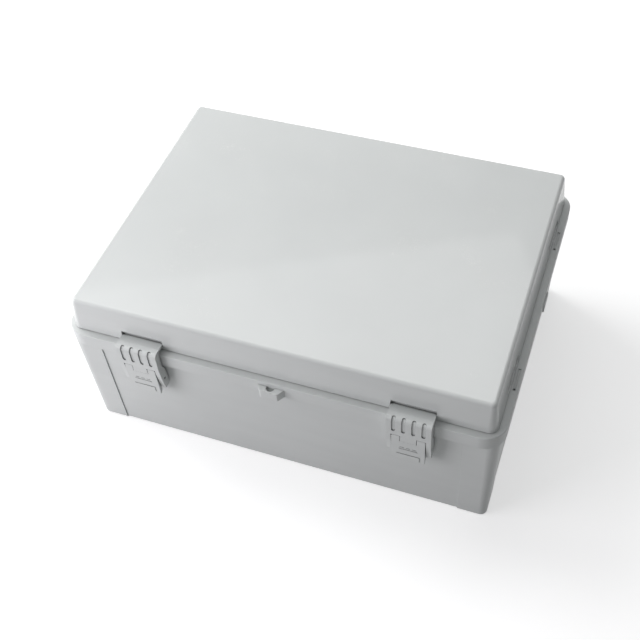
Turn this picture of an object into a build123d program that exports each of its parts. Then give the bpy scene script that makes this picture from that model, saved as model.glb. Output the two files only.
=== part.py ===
from build123d import *
import math
import os

# Overall size in millimetres. The rim is the widest outline, the front faces -Y, the floor is z = 0
outer_length = 400.0
outer_depth = 300.0
outer_height = 165.0
wall = 3.0
floor_thickness = 3.5

# The raised rim band round the base
lid_zone_height = 33.5
band_height = 14.3
band_corner_radius = 20.0
band_top_round = 1.0
rim_plate_thickness = 3.0

# The body walls lean in towards the floor, and their middles stand a little further in
body_setback_top = 3.0
body_setback_bottom = 6.6
body_radius = 10.0
body_floor_round = 1.6
panel_recess = 0.9
corner_zone = 33.0

# The lid
seam_gap = 0.5
lid_setback = 6.6
lid_draft = 3.9
lid_radius = 8.0
lid_edge_round = 3.6
lid_inner_radius = 4.0

# The seal: a tongue on the rim, pressed into a gasket in a channel under the lid
seal_inset = 13.7
seal_radius = 3.0
tongue_thickness = 2.0
tongue_height = 3.0
channel_width = 3.8
channel_roof = 2.5
seal_rib_thickness = 2.0
seal_rib_lift = 2.0
gasket_width = 3.4
gasket_height = 4.2
gasket_lift = 0.3

# A lug for a padlock or a wire seal in the middle of the front, and a low pad on each end
lug_height = 9.0
lug_drop = 4.5
lug_root_half = 12.0
lug_tip_half = 8.0
lug_reach = 6.3
lug_hole_half = 3.9
lug_hole_straight = 0.9
lug_round = 2.0
lug_groove_height = 1.0
lug_groove_depth = 0.6
lug_groove_drops = (3.0, 6.0)
pad_half = 8.0
pad_reach = 1.5
pad_shift = 15.0

# Latch stations: two on the front, and the unused ones on both ends
latch_end_margin = 76.6
end_station_margin = 66.0
keeper_width = 39.8
keeper_top_width = 39.2
keeper_height = 7.0
keeper_depth = 3.3
keeper_ledge = 2.7
ledge_groove_inset = 3.8
ledge_groove_length = 24.0
ledge_groove_width = 2.2
ledge_groove_depth = 1.0
ledge_hole_radius = 1.0
ledge_hole_depth = 2.4

# The latch: a lever turning on the base, and a hooked frame hung on the lever
latch_pin_radius = 1.25
tight_clearance = 0.01
running_clearance = 0.07
lever_pivot_reach = 1.5
lever_pivot_drop = 21.3
link_drop = 9.7
knuckle_radius = 2.8
lever_width = 29.3
lever_face_reach = 7.2
lever_foot_reach = 6.3
lever_plate = 2.6
lever_top_drop = 16.1
lever_height = 34.4
lever_top_round = 1.2
lever_barrel_width = 16.0
ear_inner = 8.4
ear_width = 3.5
lever_knuckle_inner = 9.0
lever_relief_radius = 7.8
lever_relief_drop = 17.7
frame_width = 39.0
frame_leg_gap = 0.4
frame_plate = 3.0
frame_front_reach = 7.6
frame_bridge_drop = 15.4
frame_back_gap = 0.9
hook_top_rise = 6.6
hook_underside_rise = 3.8
hook_bite = 3.0
tongue_width = 14.0
tongue_drop = 23.2
tongue_plate = 2.3
notch_gap = 0.4
slot_width = 3.3
slot_pitch = 8.6
slot_count = 4
slot_foot_drop = 9.9
slot_top_reach = 3.5
slot_depth = 0.9
link_pin_length = 37.0
lever_corner_round = 1.6
grip_width = 20.0
grip_height = 6.5
grip_rise = 0.5
grip_lift = 1.6

# Hinges at the back, opposite the latches
hinge_reach = 5.5
hinge_drop = 7.0
hinge_barrel_radius = 4.5
hinge_pin_radius = 2.0
hinge_leaf_width = 30.0
hinge_side_gap = 0.3
hinge_ear_width = 5.0
hinge_arm_half = 3.0
hinge_leaf_thickness = 3.0
hinge_leaf_rise = 20.5
hinge_arm_rise = 3.0
hinge_arm_thickness = 4.5
hinge_pad_reach = 6.0
hinge_pad_margin = 2.0
hinge_screw_offset = 9.0
hinge_screw_rise = 15.5
hinge_screw_length = 12.0
hinge_boss_half = 14.0
hinge_boss_drop = 6.0
hinge_boss_depth = 8.0

# Floor: holes for fixing the box to a wall, and bosses for the mounting plate
fixing_margin = 30.0
fixing_hole_radius = 3.25
fixing_boss_radius = 8.0
fixing_boss_height = 6.0
plate_end_margin = 40.0
plate_side_margin = 35.0
plate_thickness = 2.0
plate_corner_radius = 5.0
plate_hole_margin = 10.0
plate_boss_radius = 6.0
plate_boss_height = 12.0
plate_screw_length = 12.0

# Self-tapping screws of one size hold the plate and the hinge leaves
screw_radius = 1.9
screw_pilot_gap = 0.05
screw_hole_radius = 2.2
screw_head_radius = 3.7
screw_head_height = 2.4
screw_spare_depth = 1.0
washer_radius = 4.8
washer_thickness = 0.8

# Levels and lines that follow from the sizes
rim_top = outer_height - lid_zone_height
band_bottom = rim_top - band_height
lid_bottom = rim_top + seam_gap
front_face = -outer_depth / 2
back_face = outer_depth / 2
latch_offset = outer_length / 2 - latch_end_margin
end_station_offset = outer_depth / 2 - end_station_margin
fixing_spacing_x = outer_length - 2 * fixing_margin
fixing_spacing_y = outer_depth - 2 * fixing_margin
plate_length = outer_length - 2 * plate_end_margin
plate_depth = outer_depth - 2 * plate_side_margin
tongue_outer = seal_inset - tongue_thickness / 2
tongue_inner = seal_inset + tongue_thickness / 2
channel_outer = seal_inset - channel_width / 2
channel_inner = seal_inset + channel_width / 2
channel_ceiling = rim_top + tongue_height + gasket_lift + gasket_height
cavity_top = rim_top - rim_plate_thickness
body_lean = (body_setback_bottom - body_setback_top) / band_bottom
lid_lean = lid_draft / (outer_height - lid_bottom)
lever_pivot = (front_face - lever_pivot_reach, rim_top - lever_pivot_drop)
link_pivot = (lever_pivot[0], lever_pivot[1] - link_drop)
hinge_axis = (back_face + hinge_reach, rim_top - hinge_drop)
tight_latch_hole = latch_pin_radius + tight_clearance
running_latch_hole = latch_pin_radius + running_clearance


def outline(inset, radius):
    return RectangleRounded(outer_length - 2 * inset, outer_depth - 2 * inset, radius)


def slab(inset, radius, low, high):
    return Pos(0, 0, low) * extrude(outline(inset, radius), high - low)


# A block whose walls lean in from its wide end to its narrow end
def drafted(inset, radius, wide_end, narrow_end, lean):
    height = abs(narrow_end - wide_end)
    direction = (0, 0, 1 if narrow_end > wide_end else -1)
    face = Pos(0, 0, wide_end) * outline(inset, radius)
    return extrude(face, height, dir=direction, taper=math.degrees(math.atan(lean)))


def block(x_span, y_span, z_span):
    size = [span[1] - span[0] for span in (x_span, y_span, z_span)]
    middle = [(span[0] + span[1]) / 2 for span in (x_span, y_span, z_span)]
    return Pos(*middle) * Box(*size)


def x_rod(radius, x_span, centre):
    length = x_span[1] - x_span[0]
    return Pos((x_span[0] + x_span[1]) / 2, *centre) * Rot(0, 90, 0) * Cylinder(radius, length)


def y_rod(radius, x, y_span, z):
    length = y_span[1] - y_span[0]
    return Pos(x, (y_span[0] + y_span[1]) / 2, z) * Rot(90, 0, 0) * Cylinder(radius, length)


def z_rod(radius, x, y, z_span):
    return Pos(x, y, (z_span[0] + z_span[1]) / 2) * Cylinder(radius, z_span[1] - z_span[0])


def polygon(points):
    return make_face(Polyline(*points, close=True))


def round_corners(face, corners):
    for (across, up), radius in corners:
        nearest = min(face.vertices(), key=lambda v: (v.X - across) ** 2 + (v.Y - up) ** 2)
        face = fillet([nearest], radius)
    return face


def side_profile(face, x_span):
    return Pos(x_span[0], 0, 0) * extrude(Plane.YZ * face, x_span[1] - x_span[0])


def both_sides(inner, width):
    return ((-inner - width, -inner), (inner, inner + width))


def body_inset(height):
    return body_setback_bottom - body_lean * height


def lid_inset(height):
    return lid_setback + lid_lean * (height - lid_bottom)


def lower_edges(shape):
    return shape.faces().sort_by(Axis.Z)[0].edges()


def upper_edges(shape):
    return shape.faces().sort_by(Axis.Z)[-1].edges()


def corner_points(spacing_x, spacing_y):
    return [(sx * spacing_x / 2, sy * spacing_y / 2) for sx in (-1, 1) for sy in (-1, 1)]


# The two stations on each end face, as (quarter turns of a front station, sideways shift)
def station(shape, turn, sideways):
    shift = (outer_length - outer_depth) / 2
    if turn == 0:
        return Pos(sideways, 0, 0) * shape
    return Rot(0, 0, turn) * Pos(sideways, -shift, 0) * shape


front_stations = [(0, -latch_offset), (0, latch_offset)]
end_stations = [(turn, side * end_station_offset) for turn in (90, -90) for side in (-1, 1)]


# Base shell
def body_wall():
    blend = band_bottom + 1
    panel = drafted(body_inset(blend) + panel_recess, body_radius, blend, 0, body_lean)
    panel = fillet(lower_edges(panel), body_floor_round)
    corner = drafted(body_inset(blend), body_radius, blend, 0, body_lean)
    corner = fillet(lower_edges(corner), body_floor_round)
    body = panel
    for sx in (-1, 1):
        for sy in (-1, 1):
            x_span = sorted((sx * (outer_length / 2 - corner_zone), sx * outer_length / 2))
            y_span = sorted((sy * (outer_depth / 2 - corner_zone), sy * outer_depth / 2))
            body += corner & block(x_span, y_span, (0, blend))
    return body


def rim_band():
    band = slab(0, band_corner_radius, band_bottom, rim_top)
    return fillet(upper_edges(band), band_top_round)


def seal_lug():
    top = rim_top - lug_drop
    root = front_face + wall
    tip = front_face - lug_reach
    points = [
        (-lug_root_half, root),
        (-lug_root_half, front_face),
        (-lug_tip_half, tip),
        (lug_tip_half, tip),
        (lug_root_half, front_face),
        (lug_root_half, root),
    ]
    corners = [((side * lug_tip_half, tip), lug_round) for side in (-1, 1)]
    face = round_corners(polygon(points), corners)
    lug = Pos(0, 0, top - lug_height) * extrude(face, lug_height)
    slope = (lug_root_half - lug_tip_half) / lug_reach
    for drop in lug_groove_drops:
        for side in (-1, 1):
            inner = lug_tip_half - lug_groove_depth
            outline_points = [
                (side * inner, tip - 1),
                (side * (inner + slope * (lug_reach + 1)), front_face),
                (side * (lug_root_half + 1), front_face),
                (side * (lug_root_half + 1), tip - 1),
            ]
            groove = extrude(polygon(outline_points), lug_groove_height, dir=(0, 0, 1))
            lug -= Pos(0, 0, top - drop - lug_groove_height / 2) * groove
    return lug


def seal_lug_hole():
    low = rim_top - lug_drop - lug_height
    arc_centre = front_face - lug_hole_straight
    z_span = (low - 1, low + lug_height + 1)
    hole = z_rod(lug_hole_half, 0, arc_centre, z_span)
    hole += block((-lug_hole_half, lug_hole_half), (arc_centre, front_face), z_span)
    return hole & block((-lug_hole_half, lug_hole_half), (arc_centre - lug_hole_half, front_face), z_span)


def end_pad():
    top = rim_top - lug_drop
    tip = front_face - pad_reach
    root = front_face + wall
    points = [(-pad_half - pad_reach, root), (-pad_half, tip), (pad_half, tip), (pad_half + pad_reach, root)]
    return Pos(0, 0, top - lug_height) * extrude(polygon(points), lug_height)


def lever_ears():
    centre_y, centre_z = lever_pivot
    wall_line = front_face + body_inset(lever_pivot[1]) + panel_recess
    root = wall_line + wall / 2
    points = [
        (centre_y, centre_z + knuckle_radius - 0.05),
        (root, centre_z + knuckle_radius - 1.3),
        (root, centre_z - 2 * knuckle_radius),
        (centre_y, centre_z - knuckle_radius),
    ]
    ears = []
    for x_span in both_sides(ear_inner, ear_width):
        ear = side_profile(polygon(points), x_span) + x_rod(knuckle_radius, x_span, lever_pivot)
        ears.append(ear)
    return ears


def lever_relief():
    half = lever_width / 2 + frame_leg_gap
    sweep = x_rod(lever_relief_radius, (-half, half), lever_pivot)
    z_span = (rim_top - lever_relief_drop, rim_top)
    keep = block((-half, half), (front_face - lug_reach, front_face + wall * 2), z_span)
    return sweep & keep


def hinge_ears():
    axis_y, axis_z = hinge_axis
    points = [
        (back_face - 1, axis_z - hinge_barrel_radius - 1),
        (back_face - 1, axis_z + hinge_barrel_radius),
        (axis_y, axis_z + hinge_barrel_radius),
        (axis_y, axis_z - hinge_barrel_radius),
    ]
    ears = []
    for x_span in both_sides(hinge_leaf_width / 2 + hinge_side_gap, hinge_ear_width):
        ear = side_profile(polygon(points), x_span) + x_rod(hinge_barrel_radius, x_span, hinge_axis)
        ears.append(ear)
    return ears


def ledge_groove(hole_side):
    line = front_face + ledge_groove_inset
    half_length = ledge_groove_length / 2
    half_width = ledge_groove_width / 2
    low = rim_top - ledge_groove_depth
    groove = block((-half_length, half_length), (line - half_width, line + half_width), (low, rim_top + 1))
    hole_x = hole_side * (half_length - ledge_groove_width)
    return groove + z_rod(ledge_hole_radius, hole_x, line, (low - ledge_hole_depth, rim_top))


def base_shell():
    shell = body_wall() + rim_band()
    cavity_inset = body_inset(cavity_top) + panel_recess + wall
    cavity_radius = body_radius - panel_recess - wall
    shell -= drafted(cavity_inset, cavity_radius, cavity_top, floor_thickness, body_lean)
    shell += slab(tongue_outer, seal_radius, cavity_top, rim_top + tongue_height)
    shell -= slab(tongue_inner, seal_radius, cavity_top - 1, rim_top + tongue_height + 1)
    shell += seal_lug()
    shell -= seal_lug_hole()
    for turn, sideways in [(90, pad_shift), (-90, -pad_shift)]:
        shell += station(end_pad(), turn, sideways)
    for turn, sideways in front_stations:
        shell -= station(lever_relief(), turn, sideways)
        for ear in lever_ears():
            shell += station(ear, turn, sideways)
        pin_half = ear_inner + ear_width + 1
        shell -= station(x_rod(tight_latch_hole, (-pin_half, pin_half), lever_pivot), turn, sideways)
        for ear in hinge_ears():
            shell += Pos(sideways, 0, 0) * ear
        pin_half = hinge_leaf_width / 2 + hinge_ear_width + 1
        hinge_bore = x_rod(hinge_pin_radius + tight_clearance, (-pin_half, pin_half), hinge_axis)
        shell -= Pos(sideways, 0, 0) * hinge_bore
    for turn, sideways in end_stations:
        shell -= station(ledge_groove(-1 if turn > 0 else 1), turn, sideways)
    for x, y in corner_points(fixing_spacing_x, fixing_spacing_y):
        top = floor_thickness + fixing_boss_height
        shell += z_rod(fixing_boss_radius, x, y, (floor_thickness - 1, top))
        shell -= z_rod(fixing_hole_radius, x, y, (-1, top + 1))
    for x, y in plate_points:
        top = floor_thickness + plate_boss_height
        shell += z_rod(plate_boss_radius, x, y, (floor_thickness - 1, top))
        shell -= z_rod(screw_radius + screw_pilot_gap, x, y, (plate_pilot_foot, top + 1))
    return shell


# Mounting plate and its fixings
plate_points = corner_points(plate_length - 2 * plate_hole_margin, plate_depth - 2 * plate_hole_margin)
plate_low = floor_thickness + plate_boss_height
plate_high = plate_low + plate_thickness
plate_screw_seat = plate_high + washer_thickness
plate_pilot_foot = plate_screw_seat - plate_screw_length - screw_spare_depth


def mounting_plate():
    sheet = extrude(RectangleRounded(plate_length, plate_depth, plate_corner_radius), plate_thickness)
    plate = Pos(0, 0, plate_low) * sheet
    for x, y in plate_points:
        plate -= z_rod(screw_hole_radius, x, y, (plate_low - 1, plate_high + 1))
    return plate


def washer():
    ring = Cylinder(washer_radius, washer_thickness) - Cylinder(screw_hole_radius, washer_thickness * 2)
    return Pos(0, 0, washer_thickness / 2) * ring


# A screw standing on z = 0 by its head, shank down
def screw(length):
    head = z_rod(screw_head_radius, 0, 0, (0, screw_head_height))
    return head + z_rod(screw_radius, 0, 0, (-length, 0))


def group(pieces):
    return Compound(children=pieces)


# Lid shell
def keeper_pocket():
    face_line = front_face + lid_setback
    low = lid_bottom + keeper_ledge
    high = low + keeper_height
    outside = face_line - 2
    points = [
        (outside, low),
        (face_line + keeper_depth, low),
        (face_line + keeper_depth, rim_top + hook_top_rise),
        (front_face + lid_inset(high), high),
        (outside, high),
    ]
    half = keeper_width / 2
    pocket = side_profile(polygon(points), (-half, half))
    shape = [(-half, low), (half, low), (keeper_top_width / 2, high), (-keeper_top_width / 2, high)]
    face = Plane.XZ * polygon(shape)
    return pocket & Pos(0, outside, 0) * extrude(face, -keeper_depth * 3)


def hinge_pad(sideways):
    half = hinge_leaf_width / 2 + hinge_pad_margin
    low = lid_bottom + hinge_pad_margin / 2
    high = rim_top + hinge_leaf_rise + hinge_pad_margin / 2
    pad_face = back_face - hinge_pad_reach
    inner = back_face - lid_inset(high) - wall / 2
    return block((sideways - half, sideways + half), (inner, pad_face), (low, high))


def hinge_boss(sideways, level):
    x_span = (sideways - hinge_boss_half, sideways + hinge_boss_half)
    back = back_face - lid_inset(level) - wall / 2
    z_span = (level - hinge_boss_drop, level + hinge_boss_drop)
    return block(x_span, (back - hinge_boss_depth, back), z_span)


def hinge_screw_points():
    return [side * hinge_screw_offset for side in (-1, 1)]


def lid_shell():
    lid = drafted(lid_setback, lid_radius, lid_bottom, outer_height, lid_lean)
    lid = fillet(upper_edges(lid), lid_edge_round)
    roof_level = channel_ceiling + channel_roof
    lid -= slab(channel_inner + seal_rib_thickness, seal_radius, lid_bottom - 1, roof_level)
    inner_inset = lid_inset(roof_level) + wall
    lid -= drafted(inner_inset, lid_inner_radius, roof_level, outer_height - wall, lid_lean)
    channel = slab(channel_outer, seal_radius, lid_bottom - 1, channel_ceiling)
    lid -= channel - slab(channel_inner, seal_radius, lid_bottom - 2, channel_ceiling + 1)
    rib_foot = slab(channel_outer, seal_radius, lid_bottom - 1, rim_top + seal_rib_lift)
    lid -= rib_foot
    for turn, sideways in front_stations + end_stations:
        lid -= station(keeper_pocket(), turn, sideways)
    pad_face = back_face - hinge_pad_reach
    screw_level = rim_top + hinge_screw_rise
    for side in (-1, 1):
        lid += hinge_pad(side * latch_offset)
        lid += hinge_boss(side * latch_offset, screw_level)
        for shift in hinge_screw_points():
            x = side * latch_offset + shift
            pilot_foot = pad_face + hinge_leaf_thickness - hinge_screw_length - screw_spare_depth
            lid -= y_rod(screw_radius + screw_pilot_gap, x, (pilot_foot, pad_face + 1), screw_level)
    return lid


def lid_gasket():
    half_spare = (channel_width - gasket_width) / 2
    low = channel_ceiling - gasket_height
    ring = slab(channel_outer + half_spare, seal_radius, low, channel_ceiling)
    return ring - slab(channel_inner - half_spare, seal_radius, low - 1, channel_ceiling + 1)


# Hinge leaves and pins
def hinge_leaf():
    half = hinge_leaf_width / 2
    axis_y, axis_z = hinge_axis
    pad_face = back_face - hinge_pad_reach
    arm_low = rim_top + hinge_arm_rise
    points = [
        (axis_y - hinge_arm_half, axis_z),
        (axis_y - hinge_arm_half, arm_low),
        (pad_face, arm_low),
        (pad_face, rim_top + hinge_leaf_rise),
        (pad_face + hinge_leaf_thickness, rim_top + hinge_leaf_rise),
        (pad_face + hinge_leaf_thickness, arm_low + hinge_arm_thickness),
        (axis_y + hinge_arm_half, arm_low + hinge_arm_thickness),
        (axis_y + hinge_arm_half, axis_z),
    ]
    bends = [
        (points[1], hinge_arm_half / 2),
        (points[4], hinge_leaf_thickness / 3),
        (points[5], hinge_leaf_thickness / 2),
        (points[6], hinge_arm_thickness - 0.5),
    ]
    leaf = side_profile(round_corners(polygon(points), bends), (-half, half))
    leaf += x_rod(hinge_barrel_radius, (-half, half), hinge_axis)
    leaf -= x_rod(hinge_pin_radius + running_clearance, (-half - 1, half + 1), hinge_axis)
    for shift in hinge_screw_points():
        y_span = (pad_face - 1, pad_face + hinge_leaf_thickness + 1)
        leaf -= y_rod(screw_hole_radius, shift, y_span, rim_top + hinge_screw_rise)
    return leaf


def hinge_pin():
    half = hinge_leaf_width / 2 + hinge_side_gap + hinge_ear_width
    return x_rod(hinge_pin_radius, (-half, half), hinge_axis)


def hinge_screws(sideways):
    seat = back_face - hinge_pad_reach + hinge_leaf_thickness
    pieces = []
    for shift in hinge_screw_points():
        place = Pos(sideways + shift, seat, rim_top + hinge_screw_rise) * Rot(-90, 0, 0)
        pieces.append(place * screw(hinge_screw_length))
    return pieces


# Latch lever, in the plane x = 0
def latch_lever():
    half = lever_width / 2
    top = rim_top - lever_top_drop
    foot = top - lever_height
    face_top = front_face - lever_face_reach
    face_foot = front_face - lever_foot_reach
    points = [
        (face_top, top),
        (face_foot, foot),
        (face_foot + lever_plate / 2, foot - 0.6),
        (face_foot + lever_plate + 1.1, foot + 3.6),
        (face_foot + lever_plate + 0.3, foot + 7),
        (face_top + lever_plate, foot + 17),
        (face_top + lever_plate, top),
    ]
    rounds = [(points[0], lever_top_round), (points[2], 0.5), (points[3], 1.0), (points[6], 0.4)]
    lever = side_profile(round_corners(polygon(points), rounds), (-half, half))
    back = face_top + lever_plate
    barrel_half = lever_barrel_width / 2
    barrel_span = (-barrel_half, barrel_half)
    web_low = lever_pivot[1] - knuckle_radius * 2.2
    web = [
        (back - 0.5, lever_pivot[1]),
        (lever_pivot[0], lever_pivot[1]),
        (lever_pivot[0], lever_pivot[1] - knuckle_radius),
        (back - 0.5, web_low),
    ]
    notch_half = tongue_width / 2 + notch_gap
    notch_foot = rim_top - tongue_drop - notch_gap
    lever -= block((-notch_half, notch_half), (face_top - 1, back + 1), (notch_foot, top + 1))
    lever += x_rod(knuckle_radius, barrel_span, lever_pivot)
    web_shape = side_profile(polygon(web), barrel_span)
    keep_back = block(barrel_span, (back, lever_pivot[0] + knuckle_radius), (web_low, top))
    keep_low = block(barrel_span, (face_top, lever_pivot[0] + knuckle_radius), (web_low, notch_foot))
    lever += web_shape & (keep_back + keep_low)
    for x_span in both_sides(lever_knuckle_inner, half - lever_knuckle_inner):
        lever += x_rod(knuckle_radius, x_span, link_pivot)
        z_span = (link_pivot[1] - knuckle_radius, link_pivot[1] + knuckle_radius)
        lever += block(x_span, (back - 0.5, link_pivot[0]), z_span)
        lever -= x_rod(tight_latch_hole, x_span, link_pivot)
    for x_span in both_sides(half - 1.5, 1.5):
        rib = [
            (back - 0.5, link_pivot[1]),
            (link_pivot[0], link_pivot[1] - knuckle_radius),
            (face_foot + lever_plate, foot + 4),
        ]
        lever += side_profile(polygon(rib), x_span)
    lever -= x_rod(running_latch_hole, (-barrel_half, barrel_half), lever_pivot)
    for side in (-1, 1):
        lever -= lever_corner(side * half, side, top, (face_top - 1, back + 1))
    return lever + grip_pad(face_foot, foot)


# What is cut from a top corner of the lever to round it in front view
def lever_corner(x, side, top, y_span):
    inner = x - side * lever_corner_round
    low = top - lever_corner_round
    square = block(sorted((inner, x + side)), y_span, (low, top + 1))
    return square - y_rod(lever_corner_round, inner, y_span, low)


# The raised pad that the finger pushes on, parallel to the lever's face
def grip_pad(face_foot, foot):
    half = grip_width / 2
    lean = (lever_face_reach - lever_foot_reach) / lever_height
    low = foot + grip_lift
    high = low + grip_height
    face_low = face_foot - lean * grip_lift - grip_rise
    face_high = face_low - lean * grip_height
    points = [(face_foot + 1, low), (face_low, low), (face_high, high), (face_foot + 1, high)]
    return side_profile(polygon(points), (-half, half))


# Hooked latch frame, in the plane x = 0
def frame_side_face():
    outer = front_face - frame_front_reach
    back = front_face - frame_back_gap
    hook_tip = front_face + lid_setback + hook_bite
    hook_top = rim_top + hook_top_rise
    underside = rim_top + hook_underside_rise
    foot = link_pivot[1] - 12.9
    foot_back = link_pivot[0] + 5.3
    start = (outer, rim_top - 11.5)
    end = (outer + 4.3, foot)
    bow = (outer + 1.65, rim_top - 28.0)
    edges = [
        Line((outer, hook_top), start),
        ThreePointArc(start, bow, end),
        Polyline(
            end,
            (foot_back, foot),
            (foot_back, link_pivot[1] - 2.5),
            (back + 2.6, rim_top - 19.3),
            (back, rim_top - 15.5),
            (back, underside),
            (hook_tip, underside),
            (hook_tip, hook_top - 1.2),
            (outer + 8, hook_top),
            (outer, hook_top),
        ),
    ]
    face = make_face(edges)
    rounds = [
        ((outer, hook_top), 3.9),
        ((hook_tip, hook_top - 1.2), 0.6),
        ((back, underside), 1.5),
        ((foot_back, foot), 2.4),
        (end, 2.2),
    ]
    return round_corners(face, rounds)


def latch_frame():
    half = frame_width / 2
    leg_inner = lever_width / 2 + frame_leg_gap
    body = side_profile(frame_side_face(), (-half, half))
    outer = front_face - frame_front_reach
    plate_back = outer + frame_plate
    bridge_foot = rim_top - frame_bridge_drop
    low = link_pivot[1] - 20
    underside = rim_top + hook_underside_rise
    tongue_half = tongue_width / 2
    hollow = block((-leg_inner, leg_inner), (plate_back, front_face + lid_setback), (low, underside))
    window = block((-leg_inner, leg_inner), (outer - 2, plate_back), (low, bridge_foot))
    body -= hollow + window
    tongue_foot = rim_top - tongue_drop
    face_top = front_face - lever_face_reach
    tongue = [
        (face_top, bridge_foot + 1),
        (face_top, tongue_foot),
        (face_top + tongue_plate, tongue_foot + 0.8 * tongue_plate),
        (face_top + tongue_plate, bridge_foot + 1),
    ]
    body += side_profile(polygon(tongue), (-tongue_half, tongue_half))
    core_side = offset(frame_side_face(), -slot_depth, kind=Kind.INTERSECTION)
    core = side_profile(core_side, (-half, half))
    for index in range(slot_count):
        x = (index - (slot_count - 1) / 2) * slot_pitch
        body -= grip_groove(x, outer) - core
    body -= x_rod(running_latch_hole, (-half - 1, half + 1), link_pivot)
    return body


# A round-ended groove that runs up the frame's face and over its top corner
def grip_groove(x, outer):
    radius = slot_width / 2
    x_span = (x - radius, x + radius)
    low = rim_top - slot_foot_drop + radius
    high = rim_top + hook_top_rise + 1
    inner = front_face - slot_top_reach - radius
    y_span = (outer - 1, outer + 2)
    front = block(x_span, y_span, (low, high)) + y_rod(radius, x, y_span, low)
    top_span = (rim_top + hook_top_rise - 2, high)
    return front + block(x_span, (outer - 1, inner), top_span) + z_rod(radius, x, inner, top_span)


def pivot_pin():
    half = ear_inner + ear_width
    return x_rod(latch_pin_radius, (-half, half), lever_pivot)


def link_pin():
    return x_rod(latch_pin_radius, (-link_pin_length / 2, link_pin_length / 2), link_pivot)


# Every node of the box, one file each
nodes = {
    "base_shell": base_shell(),
    "mounting_plate": mounting_plate(),
    "mounting_plate_washers": group([Pos(x, y, plate_high) * washer() for x, y in plate_points]),
    "mounting_plate_screws": group(
        [Pos(x, y, plate_screw_seat) * screw(plate_screw_length) for x, y in plate_points]
    ),
    "lid_shell": lid_shell(),
    "lid_gasket": lid_gasket(),
}
for side_name, sideways in (("left", -latch_offset), ("right", latch_offset)):
    nodes["latch_pivot_pin_" + side_name] = Pos(sideways, 0, 0) * pivot_pin()
    nodes["latch_lever_" + side_name] = Pos(sideways, 0, 0) * latch_lever()
    nodes["latch_link_pin_" + side_name] = Pos(sideways, 0, 0) * link_pin()
    nodes["latch_frame_" + side_name] = Pos(sideways, 0, 0) * latch_frame()
    nodes["hinge_leaf_" + side_name] = Pos(sideways, 0, 0) * hinge_leaf()
    nodes["hinge_pin_" + side_name] = Pos(sideways, 0, 0) * hinge_pin()
    nodes["hinge_screws_" + side_name] = group(hinge_screws(sideways))

os.makedirs("parts", exist_ok=True)
for name, shape in nodes.items():
    export_step(shape, "parts/" + name + ".step")
    print(name, len(shape.solids()), "solid", round(shape.volume, 1), "mm3")
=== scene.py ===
# %% [markdown]
# # A plastic junction box, dressed for its portrait
#
# The box is a deep grey tray with a raised rim band, a lid with sloping sides, and two snap latches on
# its front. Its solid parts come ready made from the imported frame, so this lesson gives them their
# finishes, adds the small pieces that solids leave plain, and sets up the light and the camera.
# Everything is in metres. The floor of the box is z = 0, and the latches face -Y.

import math

import bmesh
import bpy
from mathutils import Matrix, Vector


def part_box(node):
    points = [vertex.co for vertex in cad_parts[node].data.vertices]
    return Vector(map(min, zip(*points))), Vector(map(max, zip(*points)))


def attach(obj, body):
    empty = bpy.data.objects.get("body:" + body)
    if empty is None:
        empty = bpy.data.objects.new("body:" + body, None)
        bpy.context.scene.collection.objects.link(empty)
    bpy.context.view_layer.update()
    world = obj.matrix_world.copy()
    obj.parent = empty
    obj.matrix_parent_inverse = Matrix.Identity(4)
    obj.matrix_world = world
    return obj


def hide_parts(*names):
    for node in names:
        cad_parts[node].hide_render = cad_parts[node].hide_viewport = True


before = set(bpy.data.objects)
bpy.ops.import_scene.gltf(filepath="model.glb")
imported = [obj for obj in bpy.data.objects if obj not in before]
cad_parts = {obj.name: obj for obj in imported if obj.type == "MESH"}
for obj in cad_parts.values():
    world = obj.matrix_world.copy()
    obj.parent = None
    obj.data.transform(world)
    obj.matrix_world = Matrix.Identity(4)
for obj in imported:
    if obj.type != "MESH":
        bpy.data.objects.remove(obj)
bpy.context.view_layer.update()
SIDES = ("left", "right")

# %% [markdown]
# ## Helpers for meshes
#
# Small pieces are written as lists of points and faces, so a helper turns such lists into an object.
# Faces get smooth shading, and edges that turn by more than 35 degrees stay sharp, as they do on a turned
# or moulded part. Many shapes are a stack of rings with the same number of points, such as the shank of a
# screw, so a second helper joins such a stack into faces, and a third joins several shapes into one.

# %% Mesh helpers
MM = 0.001
SHARP_FROM = math.radians(35)


def piece_from(name, points, faces, body):
    mesh = bpy.data.meshes.new(name)
    mesh.from_pydata([tuple(p) for p in points], [], faces)
    work = bmesh.new()
    work.from_mesh(mesh)
    bmesh.ops.remove_doubles(work, verts=work.verts, dist=1e-7)
    bmesh.ops.recalc_face_normals(work, faces=work.faces)
    work.to_mesh(mesh)
    work.free()
    mesh.shade_smooth()
    mesh.set_sharp_from_angle(angle=SHARP_FROM)
    piece = bpy.data.objects.new(name, mesh)
    bpy.context.scene.collection.objects.link(piece)
    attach(piece, body)
    return piece


def rings_to_faces(rings, count, closed_ends):
    faces = []
    for ring in range(rings - 1):
        for k in range(count):
            a = ring * count + k
            b = ring * count + (k + 1) % count
            faces.append((a, b, b + count, a + count))
    if closed_ends:
        faces.append(tuple(range(count))[::-1])
        faces.append(tuple(range((rings - 1) * count, rings * count)))
    return faces


def join_shapes(shapes):
    points = []
    faces = []
    for shape_points, shape_faces in shapes:
        start = len(points)
        points += shape_points
        faces += [tuple(i + start for i in face) for face in shape_faces]
    return points, faces


print("a cube as two rings has", len(rings_to_faces(2, 4, True)), "faces")
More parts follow.
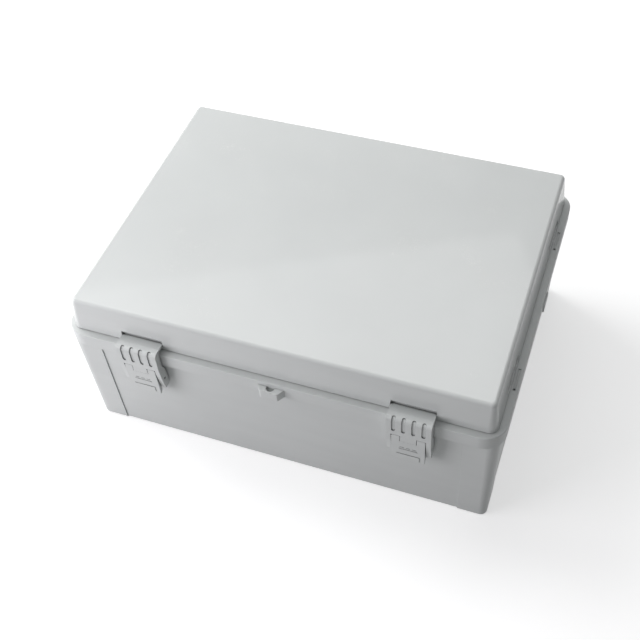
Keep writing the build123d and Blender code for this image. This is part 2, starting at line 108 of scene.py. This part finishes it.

# %% [markdown]
# ## A finish is built from shared effects
#
# All the grey parts come from one granulate, but from different moulds: the lid's mould is polished and
# the base's is finely eroded. So the fine grain and the faint cloudiness of the plastic are one node
# group with its own numbers in each material. A second group marks where dust has settled: on faces that
# look up, in patches. A third marks the fine hairline scuffs that handling leaves, and a fourth finds
# narrow gaps, where the colour is darkened as painted shade. The groups put out heights and masks, and
# the shader itself stays in each material.

# %% Node helpers
def new_group(name, inputs, outputs):
    group = bpy.data.node_groups.new(name, "ShaderNodeTree")
    for label, value in inputs:
        socket = group.interface.new_socket(label, in_out="INPUT", socket_type="NodeSocketFloat")
        socket.default_value = value
    for label in outputs:
        group.interface.new_socket(label, in_out="OUTPUT", socket_type="NodeSocketFloat")
    enter = group.nodes.new("NodeGroupInput")
    leave = group.nodes.new("NodeGroupOutput")
    return group, enter, leave


def add(tree, kind, **settings):
    node = tree.nodes.new(kind)
    for key, value in settings.items():
        setattr(node, key, value)
    return node


def math_node(tree, operation, first, second, clamp=False):
    node = add(tree, "ShaderNodeMath", operation=operation, use_clamp=clamp)
    for socket, value in zip(node.inputs, (first, second)):
        if hasattr(value, "is_linked"):
            tree.links.new(value, socket)
        elif value is not None:
            socket.default_value = value
    return node.outputs[0]


def ramp(tree, source, low, high):
    node = add(tree, "ShaderNodeMapRange", interpolation_type="SMOOTHSTEP")
    tree.links.new(source, node.inputs["Value"])
    node.inputs["From Min"].default_value = low
    node.inputs["From Max"].default_value = high
    return node.outputs["Result"]


def noise(tree, place, scale, detail, roughness=0.5):
    node = add(tree, "ShaderNodeTexNoise")
    tree.links.new(place, node.inputs["Vector"])
    if hasattr(scale, "is_linked"):
        tree.links.new(scale, node.inputs["Scale"])
    else:
        node.inputs["Scale"].default_value = scale
    node.inputs["Detail"].default_value = detail
    node.inputs["Roughness"].default_value = roughness
    return node.outputs["Fac"]


def bump_from(tree, shader, height, strength, distance, normal=None):
    bump = add(tree, "ShaderNodeBump")
    bump.inputs["Strength"].default_value = strength
    bump.inputs["Distance"].default_value = distance
    tree.links.new(height, bump.inputs["Height"])
    if normal:
        tree.links.new(normal, bump.inputs["Normal"])
    tree.links.new(bump.outputs["Normal"], shader.inputs["Normal"])


def scaled(tree, source, gain, base):
    node = add(tree, "ShaderNodeMath", operation="MULTIPLY_ADD")
    tree.links.new(source, node.inputs[0])
    node.inputs[1].default_value = gain
    node.inputs[2].default_value = base
    return node.outputs[0]


print("node helpers: new_group, add, math_node, ramp, noise, bump_from, scaled")

# %% Moulded skin: fine eroded grain and the cloudiness of the granulate
skin_group, skin_in, skin_out = new_group(
    "moulded_skin",
    [("Grain Scale", 2200.0), ("Cloud Scale", 14.0)],
    ["Grain", "Cloud", "Flow"],
)
place = add(skin_group, "ShaderNodeTexCoord").outputs["Object"]
grain = noise(skin_group, place, skin_in.outputs["Grain Scale"], 3.0, 0.6)
cloud = noise(skin_group, place, skin_in.outputs["Cloud Scale"], 4.0, 0.55)
stretch = add(skin_group, "ShaderNodeMapping")
stretch.inputs["Scale"].default_value = (9.0, 9.0, 60.0)
skin_group.links.new(place, stretch.inputs["Vector"])
flow = noise(skin_group, stretch.outputs["Vector"], 1.0, 2.0)
skin_group.links.new(grain, skin_out.inputs["Grain"])
skin_group.links.new(cloud, skin_out.inputs["Cloud"])
skin_group.links.new(flow, skin_out.inputs["Flow"])
print("group", skin_group.name, "with outputs", [s.name for s in skin_out.inputs if s.name])

# %% Settled dust: a mask on faces that look up, broken into patches
dust_group, dust_in, dust_out = new_group(
    "settled_dust", [("Patch Scale", 22.0), ("Amount", 0.3)], ["Dust"]
)
place = add(dust_group, "ShaderNodeTexCoord").outputs["Object"]
facing = add(dust_group, "ShaderNodeSeparateXYZ")
surface = add(dust_group, "ShaderNodeNewGeometry")
dust_group.links.new(surface.outputs["Normal"], facing.inputs[0])
upward = ramp(dust_group, facing.outputs["Z"], 0.55, 0.98)
patches = ramp(dust_group, noise(dust_group, place, dust_in.outputs["Patch Scale"], 7.0, 0.68), 0.42, 0.78)
speckle = ramp(dust_group, noise(dust_group, place, 900.0, 2.0), 0.58, 0.72)
both = math_node(dust_group, "MAXIMUM", patches, math_node(dust_group, "MULTIPLY", speckle, 0.7))
lying = math_node(dust_group, "MULTIPLY", upward, both)
amount = math_node(dust_group, "MULTIPLY", lying, dust_in.outputs["Amount"])
dust_group.links.new(amount, dust_out.inputs["Dust"])
print("group", dust_group.name)

# %% Handling scuffs: sparse hairlines in two directions
scuff_group, scuff_in, scuff_out = new_group("handling_scuffs", [("Amount", 0.4)], ["Scuff"])
place = add(scuff_group, "ShaderNodeTexCoord").outputs["Object"]
hairlines = []
for turn, along, across in ((0.5, 18.0, 1500.0), (-0.9, 26.0, 1900.0)):
    turned = add(scuff_group, "ShaderNodeMapping")
    turned.inputs["Rotation"].default_value = (turn * 0.6, turn * 0.4, turn)
    scuff_group.links.new(place, turned.inputs["Vector"])
    drawn = add(scuff_group, "ShaderNodeMapping")
    drawn.inputs["Scale"].default_value = (along, across, across)
    scuff_group.links.new(turned.outputs["Vector"], drawn.inputs["Vector"])
    hairlines.append(ramp(scuff_group, noise(scuff_group, drawn.outputs["Vector"], 1.0, 1.0), 0.70, 0.80))
lines = math_node(scuff_group, "MAXIMUM", hairlines[0], hairlines[1])
where = ramp(scuff_group, noise(scuff_group, place, 30.0, 2.0), 0.50, 0.66)
scuffs = math_node(scuff_group, "MULTIPLY", lines, where)
scuffs = math_node(scuff_group, "MULTIPLY", scuffs, scuff_in.outputs["Amount"])
scuff_group.links.new(scuffs, scuff_out.inputs["Scuff"])
print("group", scuff_group.name)

# %% Crevice shade: painted shade, darkening the colour in gaps narrower than a few millimetres
gap_group, gap_in, gap_out = new_group("crevice_shade", [("Reach", 0.003), ("Amount", 0.6)], ["Shade"])
hidden = add(gap_group, "ShaderNodeAmbientOcclusion", samples=8)
gap_group.links.new(gap_in.outputs["Reach"], hidden.inputs["Distance"])
closed = ramp(gap_group, math_node(gap_group, "SUBTRACT", 1.0, hidden.outputs["AO"]), 0.16, 0.62)
shade = math_node(gap_group, "MULTIPLY", closed, gap_in.outputs["Amount"])
gap_group.links.new(shade, gap_out.inputs["Shade"])
print("group", gap_group.name)

# %% [markdown]
# ## The grey plastics
#
# The photographed box is a cool, very light grey. A plain grey would look like paper, so the colour
# drifts a little with the cloudiness, the gloss varies with the grain, and dust makes faces that look up
# a touch duller. Real mouldings have no knife edges: a Bevel node rounds the normals along every edge by
# a few tenths of a millimetre, so the edges catch the light without any change to the solids. The lid
# gets a thin smooth coat as well, because a polished mould leaves a skin that mirrors lamps faintly.

# %% Colour and material helpers
def use_group(tree, group, **values):
    node = add(tree, "ShaderNodeGroup", node_tree=group)
    for key, value in values.items():
        node.inputs[key.replace("_", " ")].default_value = value
    return node


def mix_colour(tree, factor, first, second):
    node = add(tree, "ShaderNodeMix", data_type="RGBA")
    tree.links.new(factor, node.inputs["Factor"])
    for socket, value in ((node.inputs["A"], first), (node.inputs["B"], second)):
        if hasattr(value, "is_linked"):
            tree.links.new(value, socket)
        else:
            socket.default_value = value
    return node.outputs["Result"]


def blank_material(name):
    material = bpy.data.materials.new(name)
    material.use_nodes = True
    tree = material.node_tree
    return material, tree, tree.nodes["Principled BSDF"]


print("colour and material helpers: use_group, mix_colour, blank_material")

# %% The plastic finish, made once per mould
GREY_LIGHT = (0.640, 0.660, 0.652, 1.0)
GREY_DEEP = (0.608, 0.628, 0.621, 1.0)
DUST_GREY = (0.66, 0.65, 0.62, 1.0)
SCUFF_GREY = (0.78, 0.79, 0.79, 1.0)
# The gap grey is painted shade: the colour that narrow gaps are darkened towards.
PAINTED_GAP_SHADE_GREY = (0.16, 0.165, 0.165, 1.0)
GAP_REACH = 0.003
PLASTIC_IOR = 1.50


def moulded_plastic(name, gloss, grain_height, grain_scale, edge_round, dust, scuff, gap):
    material, tree, shader = blank_material(name)
    skin = use_group(tree, skin_group, Grain_Scale=grain_scale, Cloud_Scale=11.0)
    settled = use_group(tree, dust_group, Patch_Scale=16.0, Amount=dust)
    marks = use_group(tree, scuff_group, Amount=scuff)
    gaps = use_group(tree, gap_group, Reach=GAP_REACH, Amount=gap)
    scuffed = marks.outputs["Scuff"]
    drift = scaled(tree, skin.outputs["Cloud"], 0.9, 0.0)
    tree.links.new(skin.outputs["Flow"], drift.node.inputs[2])
    shade = ramp(tree, math_node(tree, "MULTIPLY", drift, 0.53), 0.30, 0.72)
    colour = mix_colour(tree, shade, GREY_DEEP, GREY_LIGHT)
    colour = mix_colour(tree, settled.outputs["Dust"], colour, DUST_GREY)
    colour = mix_colour(tree, math_node(tree, "MULTIPLY", scuffed, 0.35), colour, SCUFF_GREY)
    # Painted shade: the colour darkens towards the gap grey wherever a gap is narrow.
    colour = mix_colour(tree, gaps.outputs["Shade"], colour, PAINTED_GAP_SHADE_GREY)
    tree.links.new(colour, shader.inputs["Base Color"])
    rough = scaled(tree, skin.outputs["Grain"], 0.10, gloss - 0.05)
    rough = math_node(tree, "ADD", rough, math_node(tree, "MULTIPLY", settled.outputs["Dust"], 0.35))
    rough = math_node(tree, "ADD", rough, math_node(tree, "MULTIPLY", scuffed, 0.15), clamp=True)
    tree.links.new(rough, shader.inputs["Roughness"])
    shader.inputs["IOR"].default_value = PLASTIC_IOR
    rounded = add(tree, "ShaderNodeBevel", samples=4)
    rounded.inputs["Radius"].default_value = edge_round
    height = math_node(tree, "SUBTRACT", skin.outputs["Grain"], math_node(tree, "MULTIPLY", scuffed, 0.6))
    bump_from(tree, shader, height, 0.25, grain_height, rounded.outputs["Normal"])
    print("finish", name, "roughness about", gloss)
    return material


# The last number of each finish sets how much painted shade darkens its narrow gaps; the latches get the
# most, in their grooves.
base_finish = moulded_plastic(
    "grey_plastic_base", gloss=0.40, grain_height=0.00012, grain_scale=1900.0,
    edge_round=0.0005, dust=0.10, scuff=0.35, gap=0.25,
)
lid_finish = moulded_plastic(
    "grey_plastic_lid", gloss=0.24, grain_height=0.00005, grain_scale=1500.0,
    edge_round=0.0006, dust=0.10, scuff=0.45, gap=0.25,
)
latch_finish = moulded_plastic(
    "grey_plastic_latch", gloss=0.36, grain_height=0.00008, grain_scale=2100.0,
    edge_round=0.0003, dust=0.06, scuff=0.5, gap=0.95,
)

# %% The lid's polished skin
LID_COAT = 0.35
LID_COAT_ROUGHNESS = 0.05
lid_shader = lid_finish.node_tree.nodes["Principled BSDF"]
lid_shader.inputs["Coat Weight"].default_value = LID_COAT
lid_shader.inputs["Coat Roughness"].default_value = LID_COAT_ROUGHNESS
print("lid coat", LID_COAT)

# %% [markdown]
# ## Rubber, zinc and steel
#
# The gasket is foamed rubber: nearly black, dull, with open pores. The mounting plate is zinc plated
# sheet, so it shows rolling lines along its length and a cloudy, slightly blue lustre. Screws and pins
# are plain stainless steel with a fine grain and a few smudges.

# %% Foamed rubber
rubber_finish, tree, shader = blank_material("gasket_rubber")
place = add(tree, "ShaderNodeTexCoord").outputs["Object"]
pores = add(tree, "ShaderNodeTexVoronoi", feature="F1")
tree.links.new(place, pores.inputs["Vector"])
pores.inputs["Scale"].default_value = 2600.0
open_pore = ramp(tree, pores.outputs["Distance"], 0.15, 0.42)
bloom = ramp(tree, noise(tree, place, 60.0, 4.0), 0.40, 0.75)
colour = mix_colour(tree, open_pore, (0.006, 0.006, 0.007, 1), (0.018, 0.018, 0.019, 1))
colour = mix_colour(tree, math_node(tree, "MULTIPLY", bloom, 0.35), colour, (0.045, 0.044, 0.043, 1))
tree.links.new(colour, shader.inputs["Base Color"])
tree.links.new(scaled(tree, open_pore, -0.14, 0.92), shader.inputs["Roughness"])
bump_from(tree, shader, open_pore, 0.6, 0.0002)
print("finish", rubber_finish.name)

# %% Zinc plated sheet
zinc_finish, tree, shader = blank_material("zinc_plated_sheet")
place = add(tree, "ShaderNodeTexCoord").outputs["Object"]
rolled = add(tree, "ShaderNodeMapping")
rolled.inputs["Scale"].default_value = (6.0, 700.0, 700.0)
tree.links.new(place, rolled.inputs["Vector"])
rolling = noise(tree, rolled.outputs["Vector"], 1.0, 4.0, 0.6)
spangle = add(tree, "ShaderNodeTexVoronoi", feature="F1")
tree.links.new(place, spangle.inputs["Vector"])
spangle.inputs["Scale"].default_value = 130.0
tone = ramp(tree, spangle.outputs["Color"], 0.1, 0.9)
colour = mix_colour(tree, tone, (0.52, 0.545, 0.565, 1), (0.64, 0.655, 0.665, 1))
cloudy = ramp(tree, noise(tree, place, 9.0, 5.0), 0.45, 0.8)
colour = mix_colour(tree, cloudy, colour, (0.50, 0.50, 0.49, 1))
tree.links.new(colour, shader.inputs["Base Color"])
shader.inputs["Metallic"].default_value = 1.0
tree.links.new(scaled(tree, rolling, 0.22, 0.26), shader.inputs["Roughness"])
bump_from(tree, shader, rolling, 0.25, 0.00005)
print("finish", zinc_finish.name)

# %% Stainless steel
steel_finish, tree, shader = blank_material("stainless_steel")
place = add(tree, "ShaderNodeTexCoord").outputs["Object"]
turning = noise(tree, place, 2400.0, 2.0)
smudge = ramp(tree, noise(tree, place, 160.0, 4.0), 0.40, 0.72)
colour = mix_colour(tree, smudge, (0.60, 0.595, 0.585, 1), (0.68, 0.68, 0.675, 1))
tree.links.new(colour, shader.inputs["Base Color"])
shader.inputs["Metallic"].default_value = 1.0
tree.links.new(scaled(tree, smudge, 0.12, 0.20), shader.inputs["Roughness"])
bump_from(tree, shader, turning, 0.15, 0.00003)
print("finish", steel_finish.name)

# %% [markdown]
# ## Dress the solid pieces
#
# Each solid already has its place and shape. Only its material slot changes, so the piece stays exactly
# where the frame put it.

# %% Hand out the finishes
finish_of = {
    "base_shell": base_finish,
    "lid_shell": lid_finish,
    "mounting_plate": zinc_finish,
    "mounting_plate_washers": steel_finish,
}
for side in SIDES:
    finish_of["latch_lever_" + side] = latch_finish
    finish_of["latch_frame_" + side] = latch_finish
    finish_of["hinge_leaf_" + side] = latch_finish
    finish_of["latch_pivot_pin_" + side] = steel_finish
    finish_of["latch_link_pin_" + side] = steel_finish
    finish_of["hinge_pin_" + side] = steel_finish
for node, finish in finish_of.items():
    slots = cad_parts[node].data.materials
    slots.clear()
    slots.append(finish)
print("dressed", len(finish_of), "solid pieces")

# %% [markdown]
# ## Screws with a cross recess and a thread
#
# The solids hold each screw as two plain cylinders, which is enough for fit. A real self-tapping screw
# has a domed pan head with a cross recess and a sharp spaced thread. The dome and the shank are stacks of
# rings. The recess is cut by giving the head's flat crown a cross-shaped hole with sloping walls, and the
# thread is a swelling of the shank's radius wherever a helix passes.

# %% The head, standing on z = 0, with its cross recess
HEAD_RADIUS = 3.7 * MM
HEAD_HEIGHT = 2.4 * MM
HEAD_SIDES = 48
HEAD_PROFILE = ((0.99, 0.0), (1.0, 0.25), (0.97, 1.0), (0.88, 1.6), (0.74, 2.05), (0.58, 2.3))
CROSS_REACH = 1.75 * MM
CROSS_ARM = 0.42 * MM
CROSS_DEPTH = 1.5 * MM


def cross_outline(reach, arm, z):
    quarter = [(reach, -arm), (reach, arm), (arm, arm)]
    points = []
    for turn in range(4):
        spin = Matrix.Rotation(turn * math.pi / 2, 3, "Z")
        points += [spin @ Vector((x, y, z)) for x, y in quarter]
    return points


def screw_head():
    count = HEAD_SIDES
    profile = [(share * HEAD_RADIUS, height * MM) for share, height in HEAD_PROFILE]
    work = bmesh.new()
    rings = []
    for radius, z in profile:
        ring = []
        for k in range(count):
            angle = 2 * math.pi * k / count
            ring.append(work.verts.new((radius * math.cos(angle), radius * math.sin(angle), z)))
        rings.append(ring)
    for low, high in zip(rings, rings[1:]):
        for k in range(count):
            work.faces.new((low[k], low[(k + 1) % count], high[(k + 1) % count], high[k]))
    work.faces.new(rings[0][::-1])
    crown = rings[-1]
    crown_z = profile[-1][1]
    mouth = [work.verts.new(p) for p in cross_outline(CROSS_REACH, CROSS_ARM, crown_z)]
    pit_outline = cross_outline(CROSS_REACH * 0.45, CROSS_ARM * 0.6, crown_z - CROSS_DEPTH)
    pit = [work.verts.new(p) for p in pit_outline]
    edges = []
    for loop in (crown, mouth):
        for a, b in zip(loop, loop[1:] + loop[:1]):
            edges.append(work.edges.get((a, b)) or work.edges.new((a, b)))
    bmesh.ops.triangle_fill(work, use_beauty=True, edges=edges)
    for k in range(len(mouth)):
        after = (k + 1) % len(mouth)
        work.faces.new((mouth[k], mouth[after], pit[after], pit[k]))
    work.faces.new(pit)
    points = [v.co.copy() for v in work.verts]
    work.verts.index_update()
    faces = [tuple(v.index for v in f.verts) for f in work.faces]
    work.free()
    return points, faces


print("a head has", len(screw_head()[1]), "faces")

# %% The threaded shank, hanging below z = 0
SHANK_RADIUS = 1.9 * MM
SHANK_SIDES = 24
SHANK_PLAIN = 0.8 * MM
THREAD_CORE = 1.45 * MM
THREAD_PITCH = 1.6 * MM
RINGS_PER_TURN = 8
TIP_LENGTH = 2.2 * MM


def screw_shank(length):
    count = SHANK_SIDES
    plain = SHANK_PLAIN
    steps = int((length - plain) / THREAD_PITCH * RINGS_PER_TURN)
    points = []
    for ring in range(steps + 1):
        z = -plain * 0.25 - (length - plain * 0.25) * ring / steps
        tip = min(1.0, (length + z) / TIP_LENGTH)
        for k in range(count):
            angle = 2 * math.pi * k / count
            phase = (z / THREAD_PITCH + k / count) % 1.0
            crest = max(0.0, 1 - abs(phase - 0.5) * 5.0)
            if ring == 0:
                crest = 0.0
            radius = (THREAD_CORE + (SHANK_RADIUS - THREAD_CORE) * crest) * (0.25 + 0.75 * tip)
            points.append(Vector((radius * math.cos(angle), radius * math.sin(angle), z)))
    return points, rings_to_faces(steps + 1, count, True)


SCREW_LENGTH = 12 * MM
print("a shank has", len(screw_shank(SCREW_LENGTH)[1]), "faces")

# %% Put the screws where their plain solids are
def set_of_screws(name, places, node, body):
    points, faces = join_shapes([screw_head(), screw_shank(SCREW_LENGTH)])
    all_points, all_faces = join_shapes([([place @ p for p in points], faces) for place in places])
    piece = piece_from(name, all_points, all_faces, body)
    piece.data.materials.append(steel_finish)
    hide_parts(node)
    print(name, "has", len(places), "screws and", len(all_faces), "faces")


low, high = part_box("mounting_plate_screws")
plate_places = []
for index, (x, y) in enumerate([(low.x, low.y), (low.x, high.y), (high.x, low.y), (high.x, high.y)]):
    inner_x = x - math.copysign(HEAD_RADIUS, x)
    inner_y = y - math.copysign(HEAD_RADIUS, y)
    centre = Vector((inner_x, inner_y, high.z - HEAD_HEIGHT))
    plate_places.append(Matrix.Translation(centre) @ Matrix.Rotation(0.4 + 1.1 * index, 4, "Z"))
set_of_screws("plate_screws_cross_recess", plate_places, "mounting_plate_screws", "base")
for side in SIDES:
    low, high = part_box("hinge_screws_" + side)
    hinge_places = []
    for index, x in enumerate((low.x + HEAD_RADIUS, high.x - HEAD_RADIUS)):
        centre = Vector((x, high.y - HEAD_HEIGHT, (low.z + high.z) / 2))
        stand = Matrix.Rotation(-math.pi / 2, 4, "X") @ Matrix.Rotation(0.3 + 0.9 * index, 4, "Z")
        hinge_places.append(Matrix.Translation(centre) @ stand)
    set_of_screws("hinge_screws_cross_recess_" + side, hinge_places, "hinge_screws_" + side, "lid")

# %% [markdown]
# ## The lid gasket
#
# The gasket is one cord of foamed rubber pressed into the lid's channel. Its lower face is crowned, and
# the tongue of the base has left a shallow groove along its middle. It is a section swept round a
# rounded rectangle: at each station the section is turned square to the path, so it keeps its width in
# the corners. The last station joins the first, so the cord is one closed ring.

# %% Sweep the gasket section round the channel
GASKET_CORNER = 3.0 * MM
GASKET_WIDTH = 3.4 * MM
CORNER_STEPS = 6
low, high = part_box("lid_gasket")


def rounded_path(half_x, half_y, radius, steps):
    stations = []
    for quarter in range(4):
        sign_x = (1, -1, -1, 1)[quarter]
        sign_y = (1, 1, -1, -1)[quarter]
        middle = Vector((sign_x * (half_x - radius), sign_y * (half_y - radius)))
        for step in range(steps + 1):
            angle = math.pi / 2 * (quarter + step / steps)
            outward = Vector((math.cos(angle), math.sin(angle)))
            stations.append((middle + outward * radius, outward))
    return stations


def gasket_section(width, height):
    half = width / 2
    section = [(half, height), (half, 0.9 * MM), (half * 0.90, 0.42 * MM), (half * 0.70, 0.12 * MM)]
    section += [(half * 0.52, 0.02 * MM), (half * 0.34, 0.16 * MM), (0.0, 0.24 * MM)]
    return section + [(-x, z) for x, z in section[-2::-1]]


gasket_points = []
section = gasket_section(GASKET_WIDTH, high.z - low.z)
stations = rounded_path(high.x, high.y, GASKET_CORNER, CORNER_STEPS)
for spot, outward in stations:
    for across, up in section:
        at = spot + outward * (across - GASKET_WIDTH / 2)
        gasket_points.append((at.x, at.y, low.z + up))
gasket_faces = []
for ring in range(len(stations)):
    for k in range(len(section)):
        a = ring * len(section) + k
        b = ring * len(section) + (k + 1) % len(section)
        c = ((ring + 1) % len(stations)) * len(section)
        gasket_faces.append((a, b, c + (k + 1) % len(section), c + k))
gasket = piece_from("lid_gasket_cord", gasket_points, gasket_faces, "lid")
gasket.data.materials.append(rubber_finish)
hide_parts("lid_gasket")
print("gasket goes round", round(2 * (high.x - low.x + high.y - low.y), 3), "m")

# %% [markdown]
# ## The mark on each lever
#
# Above its raised pad each lever carries a small moulded mark that tells the hand where to pull. Here it
# is a plain one: three arrowheads over a bar, raised by a third of a millimetre from the sloping face. It
# is built flat, with a draft on its sides like any moulded mark, and then laid on the slope.

# %% Raised arrow marks
MARK_RISE = 0.35 * MM
MARK_SINK = 0.2 * MM
MARK_DRAFT = 0.15 * MM
MARK_LEVEL = 97.0 * MM
LEVER_SLOPE = math.atan(0.9 / 34.4)
LEVER_FACE_TOP = (-157.2 * MM, 115.3 * MM)
ARROW_SHIFTS = (-5.4 * MM, 0.0, 5.4 * MM)


def raised_shape(outline):
    middle = sum((Vector(p) for p in outline), Vector((0, 0))) / len(outline)
    count = len(outline)
    points = [Vector((p[0], MARK_SINK, p[1])) for p in outline]
    for p in outline:
        inward = (middle - Vector(p)).normalized() * MARK_DRAFT
        points.append(Vector((p[0] + inward.x, -MARK_RISE, p[1] + inward.y)))
    return points, rings_to_faces(2, count, True)


bar = [(x * MM, z * MM) for x, z in [(-8.2, -1.0), (8.2, -1.0), (8.2, -0.1), (-8.2, -0.1)]]
arrow = [(x * MM, z * MM) for x, z in [(-1.9, 2.4), (1.9, 2.4), (0.0, 0.5)]]
for side in SIDES:
    lever_low, lever_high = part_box("latch_lever_" + side)
    middle_x = (lever_low.x + lever_high.x) / 2
    slope_y = LEVER_FACE_TOP[0] + (LEVER_FACE_TOP[1] - MARK_LEVEL) * math.tan(LEVER_SLOPE)
    lay = Matrix.Translation((middle_x, slope_y, MARK_LEVEL)) @ Matrix.Rotation(LEVER_SLOPE, 4, "X")
    outlines = [bar] + [[(x + shift, z) for x, z in arrow] for shift in ARROW_SHIFTS]
    points, faces = join_shapes([raised_shape(outline) for outline in outlines])
    name = "lever_pull_mark_" + side
    mark = piece_from(name, [lay @ p for p in points], faces, "lever_" + side)
    mark.data.materials.append(latch_finish)
print("marks stand", round(MARK_RISE / MM, 2), "mm proud")

# %% [markdown]
# ## Floor and surroundings
#
# The photograph shows the box alone on pure white. The floor takes a real soft shadow, but to the camera
# it is as good as white, and it fades into the white surroundings a metre away. Rays that only carry
# light to the box see a darker floor and a dimmer room, so the box isn't lit from below more than a
# studio would light it.

# %% Floor
FLOOR_HALF = 6.0
FLOOR_DROP = 0.0002
corner_signs = ((-1, -1), (1, -1), (1, 1), (-1, 1))
floor_points = [(sx * FLOOR_HALF, sy * FLOOR_HALF, -FLOOR_DROP) for sx, sy in corner_signs]
floor_mesh = bpy.data.meshes.new("studio_floor")
floor_mesh.from_pydata(floor_points, [], [(0, 1, 2, 3)])
floor = bpy.data.objects.new("studio_floor", floor_mesh)
bpy.context.scene.collection.objects.link(floor)
print("floor is", 2 * FLOOR_HALF, "m wide")

# %% The floor's finish
FLOOR_UNSEEN = (0.37, 0.37, 0.37, 1)
FLOOR_SEEN = (0.70, 0.70, 0.70, 1)
FLOOR_GLOW = 0.54
FADE_START = 0.75
FADE_END = 1.5


def seen_ray(tree):
    path = add(tree, "ShaderNodeLightPath")
    seen = math_node(tree, "MAXIMUM", path.outputs["Is Camera Ray"], path.outputs["Is Glossy Ray"])
    return math_node(tree, "MAXIMUM", seen, path.outputs["Is Transmission Ray"])


floor_finish = bpy.data.materials.new("studio_floor_white")
floor_finish.use_nodes = True
tree = floor_finish.node_tree
tree.nodes.clear()
out = add(tree, "ShaderNodeOutputMaterial")
seen = seen_ray(tree)
matt = add(tree, "ShaderNodeBsdfDiffuse")
tree.links.new(mix_colour(tree, seen, FLOOR_UNSEEN, FLOOR_SEEN), matt.inputs["Color"])
glow = add(tree, "ShaderNodeEmission")
tree.links.new(math_node(tree, "MULTIPLY", seen, FLOOR_GLOW), glow.inputs["Strength"])
lit = add(tree, "ShaderNodeAddShader")
tree.links.new(matt.outputs[0], lit.inputs[0])
tree.links.new(glow.outputs[0], lit.inputs[1])
away = add(tree, "ShaderNodeVectorMath", operation="LENGTH")
tree.links.new(add(tree, "ShaderNodeTexCoord").outputs["Object"], away.inputs[0])
fade = ramp(tree, away.outputs["Value"], FADE_START, FADE_END)
far_white = add(tree, "ShaderNodeEmission")
far = add(tree, "ShaderNodeMixShader")
tree.links.new(math_node(tree, "MULTIPLY", fade, seen), far.inputs["Fac"])
tree.links.new(lit.outputs[0], far.inputs[1])
tree.links.new(far_white.outputs[0], far.inputs[2])
tree.links.new(far.outputs[0], out.inputs["Surface"])
floor_mesh.materials.append(floor_finish)
print("floor fades to white between", FADE_START, "and", FADE_END, "m")

# %% Surroundings
ROOM_LEVEL = 0.23
ROOM_COLOUR = (0.97, 0.985, 1.0, 1)
world = bpy.data.worlds.new("studio_room")
world.use_nodes = True
bpy.context.scene.world = world
tree = world.node_tree
tree.nodes.clear()
out = add(tree, "ShaderNodeOutputWorld")
room = add(tree, "ShaderNodeBackground")
room.inputs["Color"].default_value = ROOM_COLOUR
room.inputs["Strength"].default_value = ROOM_LEVEL
white = add(tree, "ShaderNodeBackground")
white.inputs["Color"].default_value = (1, 1, 1, 1)
choose = add(tree, "ShaderNodeMixShader")
tree.links.new(seen_ray(tree), choose.inputs["Fac"])
tree.links.new(room.outputs[0], choose.inputs[1])
tree.links.new(white.outputs[0], choose.inputs[2])
tree.links.new(choose.outputs[0], out.inputs["Surface"])
print("room light", ROOM_LEVEL)

# %% [markdown]
# ## Three softboxes
#
# The lid shows the edge of a large overhead lamp as a faint line running up to the right. Working back
# from that line, the lamp hangs 1.5 m up, turned by 27 degrees, and its far edge passes more than a metre
# behind the box. The front wall is brighter on the left than on the right, so a smaller lamp stands to
# the front left, near enough for its light to fall off along the wall. A third, on the left, lights the
# lid but not the ledge beside it, which lies in the lid's own shadow. These two are kept out of
# reflections, so the lid shows only the one edge, also when it is seen from behind.

# %% Lamps
def softbox(name, centre, aim, size, power, turn=0.0, mirrored=False):
    light = bpy.data.lights.new(name, "AREA")
    light.shape = "RECTANGLE"
    light.size, light.size_y = size
    light.energy = power
    lamp = bpy.data.objects.new(name, light)
    bpy.context.scene.collection.objects.link(lamp)
    facing = (Vector(aim) - Vector(centre)).to_track_quat("-Z", "Y").to_matrix().to_4x4()
    lamp.matrix_world = Matrix.Translation(centre) @ facing @ Matrix.Rotation(turn, 4, "Z")
    lamp.visible_camera = False
    lamp.visible_glossy = mirrored
    print(name, "gives", round(power / (math.pi * size[0] * size[1]), 2), "per unit of its face")
    return lamp


OVERHEAD_TURN = math.radians(27.1)
OVERHEAD_SIZE = (2.6, 0.9)
EDGE_END = Vector((0.0, 1.38, 1.5))
FRONT_LEFT_TINT = (0.99, 0.965, 1.0)
along_edge = Vector((math.cos(OVERHEAD_TURN), math.sin(OVERHEAD_TURN), 0))
inward = Vector((math.sin(OVERHEAD_TURN), -math.cos(OVERHEAD_TURN), 0))
centre = EDGE_END - along_edge * OVERHEAD_SIZE[0] / 2 + inward * OVERHEAD_SIZE[1] / 2
below = centre - Vector((0, 0, 1))
softbox("softbox_overhead", centre, below, OVERHEAD_SIZE, 14.6, turn=OVERHEAD_TURN, mirrored=True)
softbox("softbox_left", (-1.5, 0.55, 1.45), (0.0, 0.0, 0.16), (1.2, 1.2), 22.5)
front_left = softbox("softbox_front_left", (-0.77, -0.66, 0.36), (-0.24, -0.12, 0.08), (0.7, 0.7), 6.7)
front_left.data.color = FRONT_LEFT_TINT

# %% [markdown]
# ## Camera
#
# The camera stands in front, above and slightly to the right, and looks down on the lid. Its place, its
# three axes and its focal length were solved from edges of the rim, lid and latches.

# %% Camera
CAMERA_PLACE = (0.24389612, -0.60302956, 0.82310996)
camera_data = bpy.data.cameras.new("portrait_camera")
camera_data.sensor_width = 36.0
camera_data.lens = 57.134
camera = bpy.data.objects.new("portrait_camera", camera_data)
bpy.context.scene.collection.objects.link(camera)
across = Vector((0.94102981, 0.33429231, -0.05207253))
upward_axis = Vector((-0.22571570, 0.73498815, 0.63940977))
ahead = Vector((-0.25202247, 0.58995006, -0.76710077))
turned = Matrix((across, upward_axis, -ahead)).transposed().to_4x4()
camera.matrix_world = Matrix.Translation(CAMERA_PLACE) @ turned
camera_data.dof.use_dof = False
bpy.context.scene.camera = camera
bpy.context.scene.view_settings.view_transform = "Standard"
print("lens", camera_data.lens, "mm")

bpy.context.view_layer.update()
